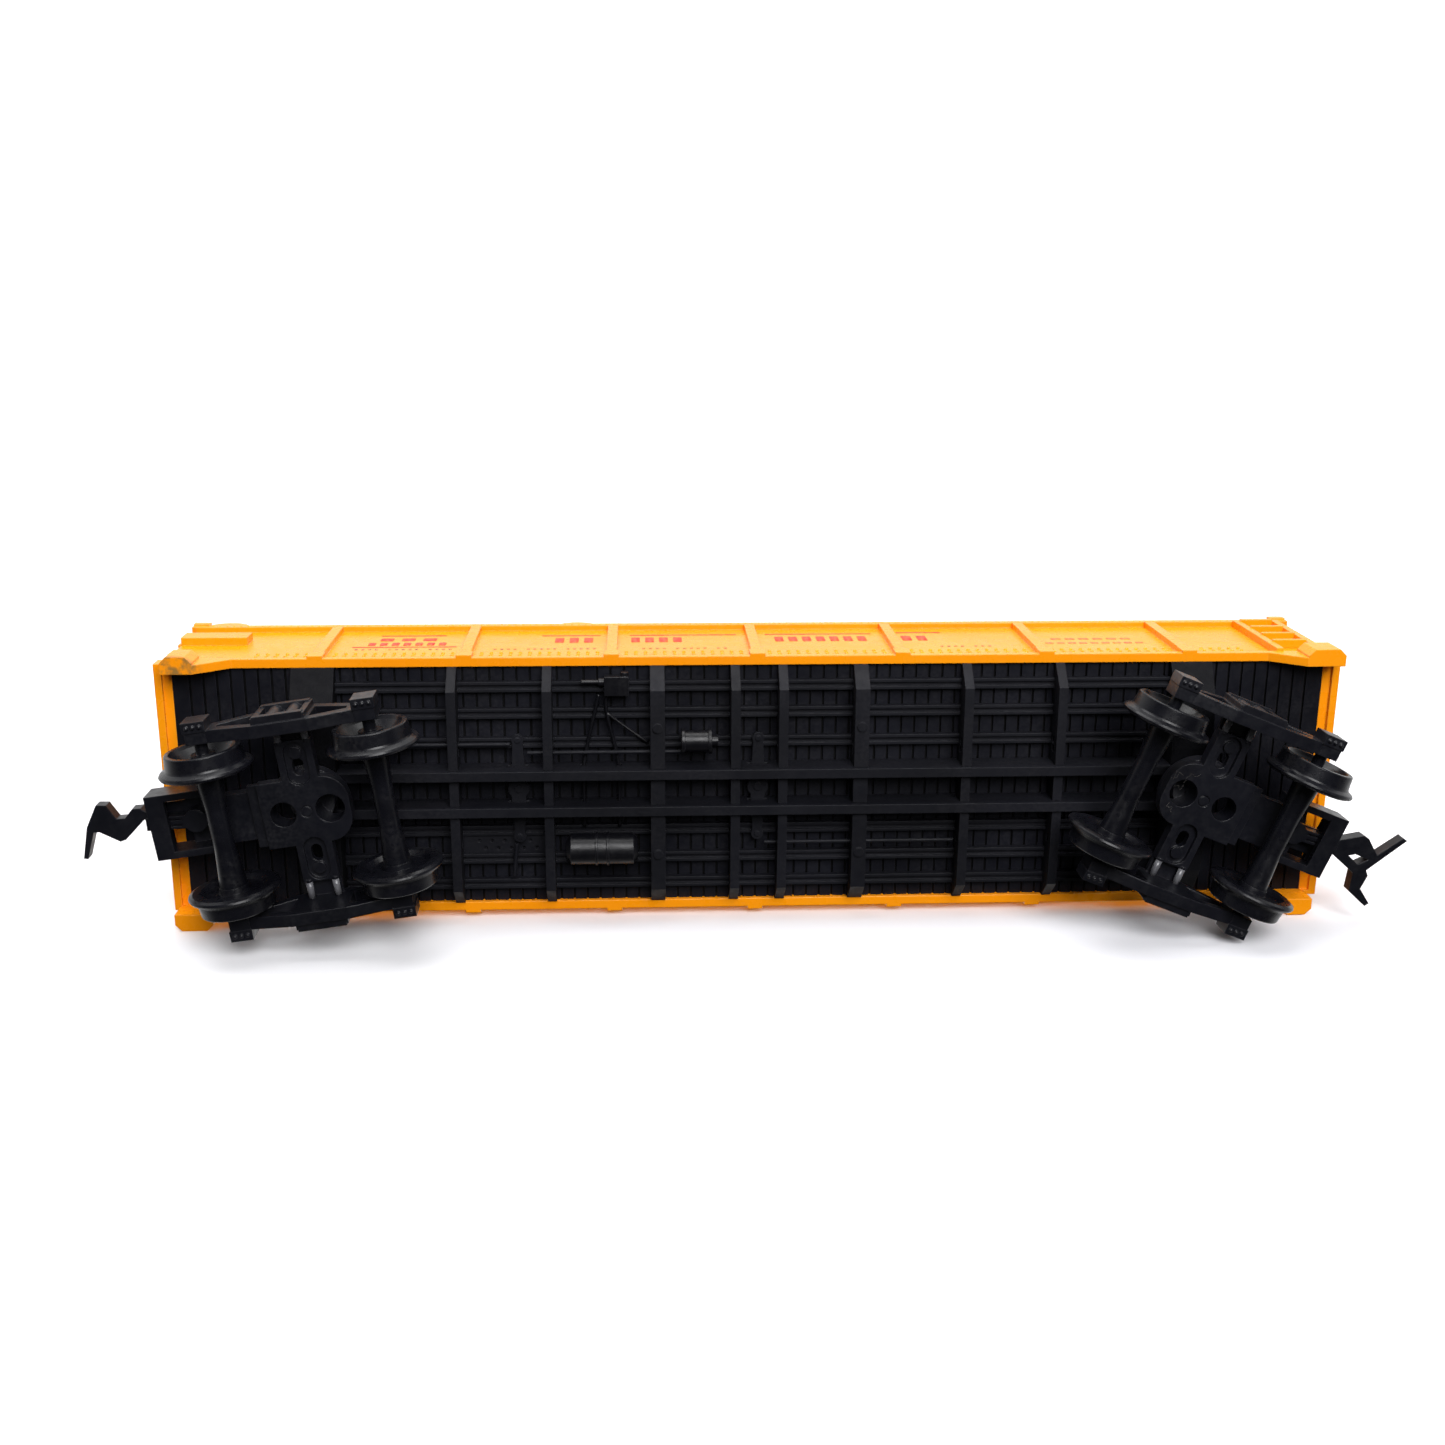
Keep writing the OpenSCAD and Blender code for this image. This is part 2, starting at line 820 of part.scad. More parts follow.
// one wheel about the Y axis, with its back at y = 0
module wheel_profile() {
    tread_out = wheel_r - 0.1;
    polygon([[axle_r, -0.2], [1.75, -0.2], [1.85, 0.5], [3.3, 0.5], [4.0, 0.0],
             [4.9, 0.0], [5.35, 0.2], [5.45, 0.45], [5.3, 0.7], [wheel_r + 0.2, 1.0],
             [wheel_r + 0.1, 1.2], [tread_out, 2.7], [tread_out - 0.1, 2.8],
             [tread_out - 0.55, 2.8], [tread_out - 0.85, 2.4], [2.5, 1.35], [1.5, 1.2],
             [1.45, 2.25], [axle_r, 2.25]]);
}

module wheel(end, yaw, along, side) {
    color(black_colour)
        at_truck(end, yaw)
            translate([along * axle_u, side * half_gap, axle_z])
                rotate([side > 0 ? -90 : 90, 0, 0])
                    rotate_extrude($fn = 96)
                        wheel_profile();
}

// an axle about its own line: waist in the middle, then flare, wheel seat and stub each way
module axle_profile() {
    flare_end = half_gap - 0.2;
    polygon([[0, -axle_half], [stub_r, -axle_half], [stub_r, -stub_start],
             [axle_r, -stub_start], [axle_r, -flare_end], [axle_flare_r, -flare_end],
             [axle_waist_r, -2.5], [axle_waist_r, 2.5], [axle_flare_r, flare_end],
             [axle_r, flare_end], [axle_r, stub_start], [stub_r, stub_start],
             [stub_r, axle_half], [0, axle_half]]);
}

module axle(end, yaw, along) {
    color(black_colour)
        at_truck(end, yaw)
            translate([along * axle_u, 0, axle_z])
                rotate([90, 0, 0])
                    rotate_extrude()
                        axle_profile();
}

module truck_frame_front() {
    truck_frame(1, front_yaw);
}

module coupler_pin_front() {
    coupler_pin(1, front_yaw);
}

module coupler_front() {
    coupler(1, front_yaw, front_swing)
        front_head_2d();
}

module axle_front_outer() {
    axle(1, front_yaw, 1);
}

module wheel_front_outer_left() {
    wheel(1, front_yaw, 1, 1);
}

module wheel_front_outer_right() {
    wheel(1, front_yaw, 1, -1);
}

module axle_front_inner() {
    axle(1, front_yaw, -1);
}

module wheel_front_inner_left() {
    wheel(1, front_yaw, -1, 1);
}

module wheel_front_inner_right() {
    wheel(1, front_yaw, -1, -1);
}

module truck_frame_rear() {
    truck_frame(-1, rear_yaw);
}

module coupler_pin_rear() {
    coupler_pin(-1, rear_yaw);
}

module coupler_rear() {
    coupler(-1, rear_yaw, rear_swing)
        rear_head_2d();
}

module axle_rear_outer() {
    axle(-1, rear_yaw, 1);
}

module wheel_rear_outer_left() {
    wheel(-1, rear_yaw, 1, 1);
}

module wheel_rear_outer_right() {
    wheel(-1, rear_yaw, 1, -1);
}

module axle_rear_inner() {
    axle(-1, rear_yaw, -1);
}

module wheel_rear_inner_left() {
    wheel(-1, rear_yaw, -1, 1);
}

module wheel_rear_inner_right() {
    wheel(-1, rear_yaw, -1, -1);
}

body_shell();
side_ladder_front();
side_ladder_rear();
ballast_weight();
underframe_floor();
centre_sill();
crossbearers();
stringers();
body_bolster_front();
body_bolster_rear();
brake_cylinder();
air_reservoir();
control_valve();
brake_lever_front();
brake_lever_rear();
brake_rods();
brake_pipes();
drilled_plate();
truck_frame_front();
coupler_pin_front();
coupler_front();
axle_front_outer();
wheel_front_outer_left();
wheel_front_outer_right();
axle_front_inner();
wheel_front_inner_left();
wheel_front_inner_right();
truck_frame_rear();
coupler_pin_rear();
coupler_rear();
axle_rear_outer();
wheel_rear_outer_left();
wheel_rear_outer_right();
axle_rear_inner();
wheel_rear_inner_left();
wheel_rear_inner_right();
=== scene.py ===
import math
import random
import bmesh
import bpy
from mathutils import Matrix, Vector


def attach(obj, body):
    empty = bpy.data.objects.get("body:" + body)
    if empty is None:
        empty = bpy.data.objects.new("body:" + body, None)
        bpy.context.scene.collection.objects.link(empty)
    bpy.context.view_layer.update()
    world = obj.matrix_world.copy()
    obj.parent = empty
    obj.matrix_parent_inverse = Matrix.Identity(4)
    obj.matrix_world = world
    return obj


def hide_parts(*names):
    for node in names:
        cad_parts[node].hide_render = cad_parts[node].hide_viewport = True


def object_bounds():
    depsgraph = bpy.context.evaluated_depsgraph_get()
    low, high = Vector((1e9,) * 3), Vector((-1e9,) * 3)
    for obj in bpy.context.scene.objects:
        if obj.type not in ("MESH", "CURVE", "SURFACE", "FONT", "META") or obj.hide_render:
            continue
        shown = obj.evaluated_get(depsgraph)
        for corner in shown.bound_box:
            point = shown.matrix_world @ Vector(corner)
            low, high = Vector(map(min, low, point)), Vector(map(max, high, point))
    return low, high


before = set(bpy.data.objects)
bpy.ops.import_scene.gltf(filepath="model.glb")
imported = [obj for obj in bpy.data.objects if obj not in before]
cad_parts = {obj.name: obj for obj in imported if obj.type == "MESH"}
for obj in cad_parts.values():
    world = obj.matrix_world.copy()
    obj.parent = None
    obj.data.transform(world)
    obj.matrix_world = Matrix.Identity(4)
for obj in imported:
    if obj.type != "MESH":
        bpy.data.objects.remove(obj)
cad_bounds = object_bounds()
rng = random.Random(7)

# Lengths below are in the CAD's millimetres and are scaled by MM when a mesh is made.
# Node settings, the camera, the planes and the lights are in metres.
MM = 0.001
BODY = "car_body"
HALF_PANEL = 16.0
HALF_CHORD = 16.7
END_FACE = 72.5
POST_PITCH = 18.0
LAST_POST = 54.0
HALF_POST_FOOT = 1.15
PIPE_Z = 14.6
TRUCK_X = 54.3
TRUCK_YAW = {"front": math.radians(22), "rear": math.radians(172)}
FAR_GLOW = 0.9


# ---------- camera ----------

def make_camera():
    """The photograph's view, of the car's underside with its left side lowest."""
    data = bpy.data.cameras.new("camera")
    data.lens = 40.784
    data.sensor_width = 36
    data.clip_start = 0.01
    camera = bpy.data.objects.new("camera", data)
    right = Vector((0.99872089, -0.00546089, -0.05026682))
    up = Vector((0.00874308, -0.96052378, 0.27806049))
    back = right.cross(up)
    turn = Matrix((right, up, back)).transposed().to_4x4()
    camera.matrix_world = Matrix.Translation((-0.0144505, -0.0647101, -0.1800457)) @ turn
    bpy.context.scene.collection.objects.link(camera)
    bpy.context.scene.camera = camera


# ---------- materials ----------

class Nodes:
    """Short calls for building one material's node tree."""

    def __init__(self, name):
        self.material = bpy.data.materials.new(name)
        self.material.use_nodes = True
        self.tree = self.material.node_tree
        self.shader = self.tree.nodes["Principled BSDF"]
        self.coords = self.add("ShaderNodeTexCoord").outputs["Object"]

    def add(self, kind, **values):
        node = self.tree.nodes.new(kind)
        for key, value in values.items():
            setattr(node, key, value)
        return node

    def link(self, source, socket):
        self.tree.links.new(source, socket)

    def noise(self, scale, detail=3.0, rough=0.55, stretch=None):
        node = self.add("ShaderNodeTexNoise")
        node.inputs["Scale"].default_value = scale
        node.inputs["Detail"].default_value = detail
        node.inputs["Roughness"].default_value = rough
        source = self.coords
        if stretch:
            mapping = self.add("ShaderNodeMapping")
            mapping.inputs["Scale"].default_value = stretch
            self.link(source, mapping.inputs["Vector"])
            source = mapping.outputs["Vector"]
        self.link(source, node.inputs["Vector"])
        return node.outputs["Fac"]

    def ramp(self, source, low, high, out_low=0.0, out_high=1.0):
        node = self.add("ShaderNodeMapRange")
        node.inputs["From Min"].default_value = low
        node.inputs["From Max"].default_value = high
        node.inputs["To Min"].default_value = out_low
        node.inputs["To Max"].default_value = out_high
        self.link(source, node.inputs["Value"])
        return node.outputs["Result"]

    def math(self, operation, a, b):
        node = self.add("ShaderNodeMath", operation=operation)
        for socket, value in ((node.inputs[0], a), (node.inputs[1], b)):
            if isinstance(value, (int, float)):
                socket.default_value = value
            else:
                self.link(value, socket)
        return node.outputs[0]

    def mix(self, factor, a, b):
        node = self.add("ShaderNodeMix", data_type="RGBA")
        self.link(factor, node.inputs["Factor"])
        for socket, value in ((node.inputs[6], a), (node.inputs[7], b)):
            if isinstance(value, tuple):
                socket.default_value = (*value, 1.0)
            else:
                self.link(value, socket)
        return node.outputs[2]

    def edge_mask(self, radius):
        """1 on sharp edges, 0 on flats, with the rounded normal that it is read from."""
        bevel = self.add("ShaderNodeBevel", samples=4)
        bevel.inputs["Radius"].default_value = radius
        geometry = self.add("ShaderNodeNewGeometry")
        dot = self.add("ShaderNodeVectorMath", operation="DOT_PRODUCT")
        self.link(bevel.outputs["Normal"], dot.inputs[0])
        self.link(geometry.outputs["Normal"], dot.inputs[1])
        return self.ramp(dot.outputs["Value"], 0.995, 0.86), bevel.outputs["Normal"]

    def bump(self, height, strength, distance, normal=None):
        node = self.add("ShaderNodeBump")
        node.inputs["Strength"].default_value = strength
        node.inputs["Distance"].default_value = distance
        self.link(height, node.inputs["Height"])
        if normal:
            self.link(normal, node.inputs["Normal"])
        return node.outputs["Normal"]

    def axis(self, name):
        """One of the object's own coordinates: X, Y or Z."""
        node = self.add("ShaderNodeSeparateXYZ")
        self.link(self.coords, node.inputs[0])
        return node.outputs[name]

    def finish(self, colour, roughness, normal):
        self.link(colour, self.shader.inputs["Base Color"])
        self.link(roughness, self.shader.inputs["Roughness"])
        self.link(normal, self.shader.inputs["Normal"])
        return self.material


def plastic(name, base, dark, edge, dust, dust_amount, rough, bump, specular, gap_shade_z=None):
    """Moulded plastic: mottled colour, paler worn edges, patchy dust and a fine grain.

    In the gaps between planks, above the height that is given last, the colour is painted nearly
    black: painted shade in the gaps.
    """
    n = Nodes(name)
    n.shader.inputs["Specular IOR Level"].default_value = specular
    mottled = n.mix(n.ramp(n.noise(55.0), 0.35, 0.65), dark, base)
    mask, rounded = n.edge_mask(0.00016)
    broken = n.ramp(n.noise(420.0), 0.3, 0.7, 0.15, 0.75)
    worn = n.mix(n.math("MULTIPLY", mask, broken), mottled, edge)
    patches = n.math("MULTIPLY", n.ramp(n.noise(130.0), 0.42, 0.72),
                     n.ramp(n.noise(2600.0), 0.4, 0.7))
    colour = n.mix(n.math("MULTIPLY", patches, dust_amount), worn, dust)
    if gap_shade_z:
        # painted shade: the plank gaps are coloured nearly black
        gap_shade = n.ramp(n.axis("Z"), gap_shade_z, gap_shade_z + 0.0001)
        colour = n.mix(gap_shade, colour, (0.0008, 0.0008, 0.0010))
    grain = n.ramp(n.noise(900.0), 0.3, 0.7, rough - 0.07, rough + 0.09)
    roughness = n.math("ADD", grain, n.math("MULTIPLY", patches, 0.2))
    return n.finish(colour, roughness, n.bump(n.noise(3800.0, 2.0), bump, 0.00004, rounded))


def orange_plastic():
    """The shell's orange, with a plank pattern pressed into the load floor and a scuffed corner."""
    n = Nodes("orange_moulded_plastic")
    n.shader.inputs["Specular IOR Level"].default_value = 0.28
    base = n.mix(n.ramp(n.noise(38.0), 0.3, 0.7), (0.95, 0.285, 0.0025), (1.0, 0.335, 0.004))
    mask, rounded = n.edge_mask(0.0002)
    broken = n.ramp(n.noise(300.0), 0.3, 0.7, 0.1, 0.55)
    worn = n.mix(n.math("MULTIPLY", mask, broken), base, (1.0, 0.5, 0.09))
    grime = n.math("MULTIPLY", n.ramp(n.noise(90.0), 0.52, 0.75),
                   n.ramp(n.noise(1500.0), 0.45, 0.75))
    dirty = n.mix(n.math("MULTIPLY", grime, 0.16), worn, (0.45, 0.2, 0.05))
    low = n.ramp(n.axis("Z"), 0.0135, 0.0122)
    end = n.ramp(n.axis("X"), -0.0665, -0.0672)
    side = n.ramp(n.axis("Y"), -0.0150, -0.0156)
    corner = n.math("MULTIPLY", n.math("MULTIPLY", low, end), side)
    scuff = n.math("MULTIPLY", corner, n.ramp(n.noise(700.0), 0.42, 0.6, 0.0, 0.85))
    colour = n.mix(scuff, dirty, (0.13, 0.11, 0.035))
    wave = n.add("ShaderNodeTexWave", wave_type="BANDS", bands_direction="X")
    wave.inputs["Scale"].default_value = 95.0
    wave.inputs["Distortion"].default_value = 0.15
    n.link(n.coords, wave.inputs["Vector"])
    seam = n.ramp(wave.outputs["Fac"], 0.0, 0.16)
    z = n.axis("Z")
    load_floor = n.math("MULTIPLY", n.ramp(z, 0.01862, 0.01866), n.ramp(z, 0.01880, 0.01876))
    pressed = n.math("MULTIPLY", n.math("SUBTRACT", seam, 1.0), load_floor)
    planks = n.bump(pressed, 0.7, 0.00022, rounded)
    rough = n.math("ADD", n.ramp(n.noise(600.0), 0.3, 0.7, 0.22, 0.34),
                   n.math("MULTIPLY", scuff, 0.3))
    return n.finish(colour, rough, n.bump(n.noise(2600.0, 2.0), 0.12, 0.00003, planks))


def wheel_plastic():
    """Glossy moulded wheels and axles with a thin patchy film."""
    n = Nodes("wheel_moulded_plastic")
    n.shader.inputs["Specular IOR Level"].default_value = 0.26
    mottled = n.mix(n.ramp(n.noise(160.0), 0.35, 0.65),
                    (0.0027, 0.0028, 0.0044), (0.0052, 0.0054, 0.0080))
    mask, rounded = n.edge_mask(0.00012)
    film = n.math("MULTIPLY", n.ramp(n.noise(240.0), 0.48, 0.72),
                  n.ramp(n.noise(1900.0), 0.4, 0.7))
    filmed = n.mix(n.math("MULTIPLY", film, 0.30), mottled, (0.030, 0.028, 0.028))
    colour = n.mix(n.math("MULTIPLY", mask, 0.20), filmed, (0.020, 0.020, 0.024))
    rough = n.math("ADD", n.ramp(n.noise(800.0), 0.3, 0.7, 0.22, 0.34),
                   n.math("MULTIPLY", film, 0.30))
    return n.finish(colour, rough, n.bump(n.noise(3000.0, 2.0), 0.12, 0.00003, rounded))


def steel():
    """Rolled sheet with long streaks and a little rust, for the ballast weight."""
    n = Nodes("plain_sheet_steel")
    n.shader.inputs["Metallic"].default_value = 1.0
    streaks = n.noise(300.0, 4.0, 0.6, (0.15, 3.0, 3.0))
    rust = n.ramp(n.noise(180.0), 0.58, 0.74)
    colour = n.mix(rust, (0.52, 0.52, 0.53), (0.22, 0.10, 0.05))
    rough = n.math("ADD", n.ramp(streaks, 0.3, 0.7, 0.3, 0.48), n.math("MULTIPLY", rust, 0.3))
    return n.finish(colour, rough, n.bump(streaks, 0.2, 0.00004))


def print_ink(name, strong, faded):
    """Thin printed ink, worn through in small specks."""
    n = Nodes(name)
    n.shader.inputs["Specular IOR Level"].default_value = 0.4
    wear = n.ramp(n.noise(2200.0, 4.0), 0.42, 0.66)
    rough = n.ramp(n.noise(900.0), 0.3, 0.7, 0.4, 0.55)
    return n.finish(n.mix(wear, strong, faded), rough, n.bump(n.noise(5000.0), 0.1, 0.00002))


def fibre():
    """Dull grey lint."""
    n = Nodes("lint_fibre")
    colour = n.mix(n.ramp(n.noise(700.0), 0.3, 0.7), (0.06, 0.055, 0.05), (0.12, 0.11, 0.10))
    rough = n.ramp(n.noise(500.0), 0.3, 0.7, 0.7, 0.9)
    return n.finish(colour, rough, n.bump(n.noise(6000.0), 0.2, 0.00002))


# plastic(name, base, dark, edge, dust, dust amount, roughness, bump, specular, height of the
# painted gap shade)
ORANGE = orange_plastic()
UNDERFRAME = plastic("underframe_black_plastic",
                     (0.0062, 0.0065, 0.0100), (0.0032, 0.0034, 0.0054),
                     (0.020, 0.020, 0.025), (0.050, 0.046, 0.050), 0.15, 0.56, 0.35, 0.20)
# The planks' last value is the height above which their gaps get painted shade.
PLANKS = plastic("plank_black_plastic", (0.0070, 0.0074, 0.0116), (0.0032, 0.0034, 0.0058),
                 (0.026, 0.026, 0.032), (0.050, 0.046, 0.052), 0.16, 0.44, 0.35, 0.20, 0.01596)
# The bolsters' black is darker than the underframe's: painted shade on the bolster tips, which face
# the key light; the finish is also duller.
BOLSTER_PAINTED_SHADE = plastic("bolster_shaded_black_plastic", (0.0040, 0.0041, 0.0056), (0.0024, 0.0025, 0.0035),
                  (0.016, 0.016, 0.020), (0.045, 0.042, 0.045), 0.12, 0.62, 0.35, 0.10)
TRUCK = plastic("truck_black_plastic", (0.0054, 0.0057, 0.0090), (0.0028, 0.0030, 0.0050),
                (0.022, 0.022, 0.027), (0.050, 0.047, 0.052), 0.09, 0.34, 0.25, 0.38)
GLOSS = plastic("brake_gear_gloss_plastic", (0.0050, 0.0050, 0.0068), (0.0028, 0.0028, 0.0040),
                (0.022, 0.022, 0.027), (0.045, 0.042, 0.045), 0.05, 0.33, 0.15, 0.28)
# The pins' pale grey is a painted highlight that stands in for their glint.
PIN_PAINTED_HIGHLIGHT = plastic("pin_painted_highlight_plastic", (0.16, 0.16, 0.17), (0.07, 0.07, 0.08),
              (0.25, 0.25, 0.26), (0.05, 0.05, 0.055), 0.10, 0.22, 0.10, 0.5)
WHEEL = wheel_plastic()
STEEL = steel()
RED = print_ink("red_print", (0.60, 0.030, 0.020), (0.85, 0.14, 0.03))
DARK = print_ink("dark_print", (0.20, 0.07, 0.03), (0.60, 0.20, 0.03))
FAINT = print_ink("faint_red_print", (0.80, 0.13, 0.05), (0.95, 0.28, 0.03))
LINT = fibre()


def dress_cad():
    """Give every CAD piece the material that its name calls for."""
    for name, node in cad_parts.items():
        if name in ("body_shell", "side_ladder_front", "side_ladder_rear"):
            material = ORANGE
        elif name == "ballast_weight":
            material = STEEL
        elif name.startswith(("wheel_", "axle_")):
            material = WHEEL
        elif name.startswith(("truck_", "coupler_")):
            material = TRUCK
        elif name in ("brake_cylinder", "air_reservoir", "control_valve"):
            material = GLOSS
        elif name == "underframe_floor":
            material = PLANKS
        elif name.startswith("body_bolster_"):
            material = BOLSTER_PAINTED_SHADE
        else:
            material = UNDERFRAME
        if not node.material_slots:
            node.data.materials.append(material)
        for slot in node.material_slots:
            slot.material = material


# ---------- pieces ----------

def piece(name, mesh, material, body=BODY, replaced=()):
    """Turn a bmesh into a smooth-shaded piece that rides a body."""
    obj = bpy.data.objects.new(name, bpy.data.meshes.new(name))
    mesh.to_mesh(obj.data)
    mesh.free()
    obj.data.materials.append(material)
    bpy.context.scene.collection.objects.link(obj)
    for polygon in obj.data.polygons:
        polygon.use_smooth = True
    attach(obj, body)
    if replaced:
        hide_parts(*replaced)


def dome(mesh, centre, outward, radius, height):
    """A low round rivet head that stands on a face."""
    outward = Vector(outward)
    across = Vector((1, 0, 0)) if abs(outward.x) < 0.5 else Vector((0, 1, 0))
    along = outward.cross(across)
    sides = 8
    rings = []
    for share, lift in ((1.0, -0.02), (0.82, 0.6), (0.4, 0.93)):
        ring = []
        for i in range(sides):
            a = 2 * math.pi * i / sides
            offset = (across * math.cos(a) + along * math.sin(a)) * radius * share
            ring.append(mesh.verts.new((Vector(centre) + offset + outward * height * lift) * MM))
        rings.append(ring)
    top = mesh.verts.new((Vector(centre) + outward * height) * MM)
    for low, high in zip(rings, rings[1:]):
        for i in range(sides):
            j = (i + 1) % sides
            mesh.faces.new((low[i], low[j], high[j], high[i]))
    for i in range(sides):
        mesh.faces.new((rings[-1][i], rings[-1][(i + 1) % sides], top))


def post_free(x):
    """True where no side post's foot stands."""
    nearest = round(x / POST_PITCH) * POST_PITCH
    return abs(nearest) > LAST_POST or abs(x - nearest) > HALF_POST_FOOT


def centred_row(count, pitch):
    """Evenly spaced places on both sides of 0."""
    return [(i - (count - 1) / 2) * pitch for i in range(count)]


def make_rivets():
    """Rivet heads along the panels' feet, the top chord and the ends' corner strips."""
    panel_rows, panel_reach = (18.6, 19.9), 63.0
    chord_row = 32.75
    end_rib_feet, end_strip_y = (20.3, 25.3, 32.3), 15.2
    for side, word in ((-1, "right"), (1, "left")):
        low = bmesh.new()
        for x in centred_row(108, 1.2):
            if post_free(x) and abs(x) < panel_reach:
                for z in panel_rows:
                    dome(low, (x, side * HALF_PANEL, z), (0, side, 0), 0.25, 0.20)
        piece("panel_rivets_" + word, low, ORANGE)
        top = bmesh.new()
        for x in centred_row(156, 0.92):
            dome(top, (x, side * HALF_CHORD, chord_row), (0, side, 0), 0.14, 0.08)
        piece("chord_rivets_" + word, top, ORANGE)
    for end, word in ((1, "front"), (-1, "rear")):
        mesh = bmesh.new()
        for side in (-1, 1):
            for i in range(13):
                z = 18.0 + i * 1.1
                if all(not foot - 0.3 < z < foot + 1.4 for foot in end_rib_feet):
                    dome(mesh, (end * END_FACE, side * end_strip_y, z), (end, 0, 0), 0.18, 0.11)
        piece("end_rivets_" + word, mesh, ORANGE)


def slab(mesh, x0, x1, z0, z1, side):
    """A thin printed patch on a side panel, with its corners clipped.

    x runs the way the print reads on the right side, and is turned round for the left.
    """
    outer, inner = HALF_PANEL + 0.025, HALF_PANEL - 0.02
    clip = min(0.12, (x1 - x0) / 4, (z1 - z0) / 4)
    outline = [(x0 + clip, z0), (x1 - clip, z0), (x1, z0 + clip), (x1, z1 - clip),
               (x1 - clip, z1), (x0 + clip, z1), (x0, z1 - clip), (x0, z0 + clip)]
    back, face = ([mesh.verts.new((side * -x * MM, side * y * MM, z * MM)) for x, z in outline]
                  for y in (inner, outer))
    mesh.faces.new(face)
    for i in range(len(outline)):
        j = (i + 1) % len(outline)
        mesh.faces.new((back[i], back[j], face[j], face[i]))


def slab_row(mesh, x0, x1, z0, z1, count, filled, side, gap_every=None):
    """A row of even patches that each fill a share of their step.

    With gap_every, one step in that many stays empty.
    """
    step = (x1 - x0) / count
    for i in range(count):
        if gap_every is None or i % gap_every != gap_every - 2:
            slab(mesh, x0 + i * step, x0 + (i + filled) * step, z0, z1, side)


def make_markings():
    """Plain rules and rows of plain bars in place of the car's print. No letters or figures."""
    # rules: x from, x to, z
    rules = ((-48.0, -39.6, 29.4), (-50.8, -37.7, 23.2), (-27.2, -19.6, 29.0),
             (-15.8, -1.9, 29.0), (1.9, 15.9, 29.1), (19.3, 25.2, 29.6))
    # bars and faint bars: x from, x to, z from, z to, how many
    bars = ((-47.8, -39.6, 26.7, 28.2, 3), (-49.0, -38.6, 24.2, 25.8, 7),
            (-25.4, -19.8, 25.3, 27.9, 3), (-15.6, -8.4, 25.3, 27.9, 4),
            (3.0, 15.6, 25.3, 27.9, 7), (19.6, 23.6, 25.3, 27.9, 2))
    faint = ((37.8, 51.0, 23.0, 23.7, 9), (39.0, 50.0, 25.2, 26.0, 6))
    # dashes: x from, x to, z, how many steps
    dashes = ((-50.3, -37.7, 21.9, 15), (-32.9, -19.6, 21.7, 16), (-14.2, -3.0, 21.6, 13),
              (23.9, 30.9, 21.8, 8))
    rule_height, dash_height = 0.42, 0.5
    for side, word in ((-1, "right"), (1, "left")):
        red = bmesh.new()
        for x0, x1, z in rules:
            slab(red, x0, x1, z, z + rule_height, side)
        for x0, x1, z0, z1, count in bars:
            slab_row(red, x0, x1, z0, z1, count, 0.62, side)
        piece("red_bars_" + word, red, RED)
        dark = bmesh.new()
        for x0, x1, z, count in dashes:
            slab_row(dark, x0, x1, z, z + dash_height, count, 0.45, side, gap_every=6)
        piece("dark_dashes_" + word, dark, DARK)
        pale = bmesh.new()
        for x0, x1, z0, z1, count in faint:
            slab_row(pale, x0, x1, z0, z1, count, 0.7, side)
        piece("faint_bars_" + word, pale, FAINT)


def smooth_path(points, steps):
    """Points on a smooth curve through the given ones."""
    spread = [points[0], *points, points[-1]]
    out = []
    for a, b, c, d in zip(spread, spread[1:], spread[2:], spread[3:]):
        for k in range(steps):
            t = k / steps
            out.append(0.5 * (2 * b + (c - a) * t + (2 * a - 5 * b + 4 * c - d) * t * t
                              + (3 * b - a - 3 * c + d) * t ** 3))
    return out + [points[-1]]


def tube(mesh, points, radius, sides=10, steps=6):
    """A closed round tube along a smooth curve."""
    path = smooth_path([Vector(p) for p in points], steps)
    rings = []
    for i, p in enumerate(path):
        run = (path[min(i + 1, len(path) - 1)] - path[max(i - 1, 0)]).normalized()
        across = run.cross(Vector((0, 0, 1)))
        across = across.normalized() if across.length > 1e-4 else Vector((1, 0, 0))
        along = run.cross(across)
        ring = []
        for k in range(sides):
            a = 2 * math.pi * k / sides
            offset = (across * math.cos(a) + along * math.sin(a)) * radius
            ring.append(mesh.verts.new((p + offset) * MM))
        rings.append(ring)
    for low, high in zip(rings, rings[1:]):
        for k in range(sides):
            j = (k + 1) % sides
            mesh.faces.new((low[k], low[j], high[j], high[k]))
    mesh.faces.new(list(reversed(rings[0])))
    mesh.faces.new(rings[-1])


def make_pipes():
    """Round brake pipes in place of the CAD's square-sided ones."""
    long_radius, branch_radius = 0.23, 0.21
    to_rear = ((-19.6, -12), (-20.1, -9.8), (-21.5, -3.4), (-21.6, 1.7), (-21.6, 5.2))
    to_front = ((-18.7, -12), (-18.6, -9.4), (-17.3, -3.4), (-17.2, 1.7), (-17.2, 5.2))
    branch = ((-18.6, -9.6), (-16.2, -7.7), (-13.6, -5.8))
    mesh = bmesh.new()
    for radius, run in ((long_radius, to_rear), (long_radius, to_front), (branch_radius, branch)):
        tube(mesh, [(x, y, PIPE_Z) for x, y in run], radius)
    piece("round_brake_pipes", mesh, GLOSS, BODY, ("brake_pipes",))


def on_truck(end, yaw, u, v, z):
    """The point u outward and v across from a parked truck's pivot.

    end is 1 for the front truck and -1 for the rear one.
    """
    return (end * TRUCK_X + math.cos(yaw) * u - math.sin(yaw) * v,
            math.sin(yaw) * u + math.cos(yaw) * v, z)


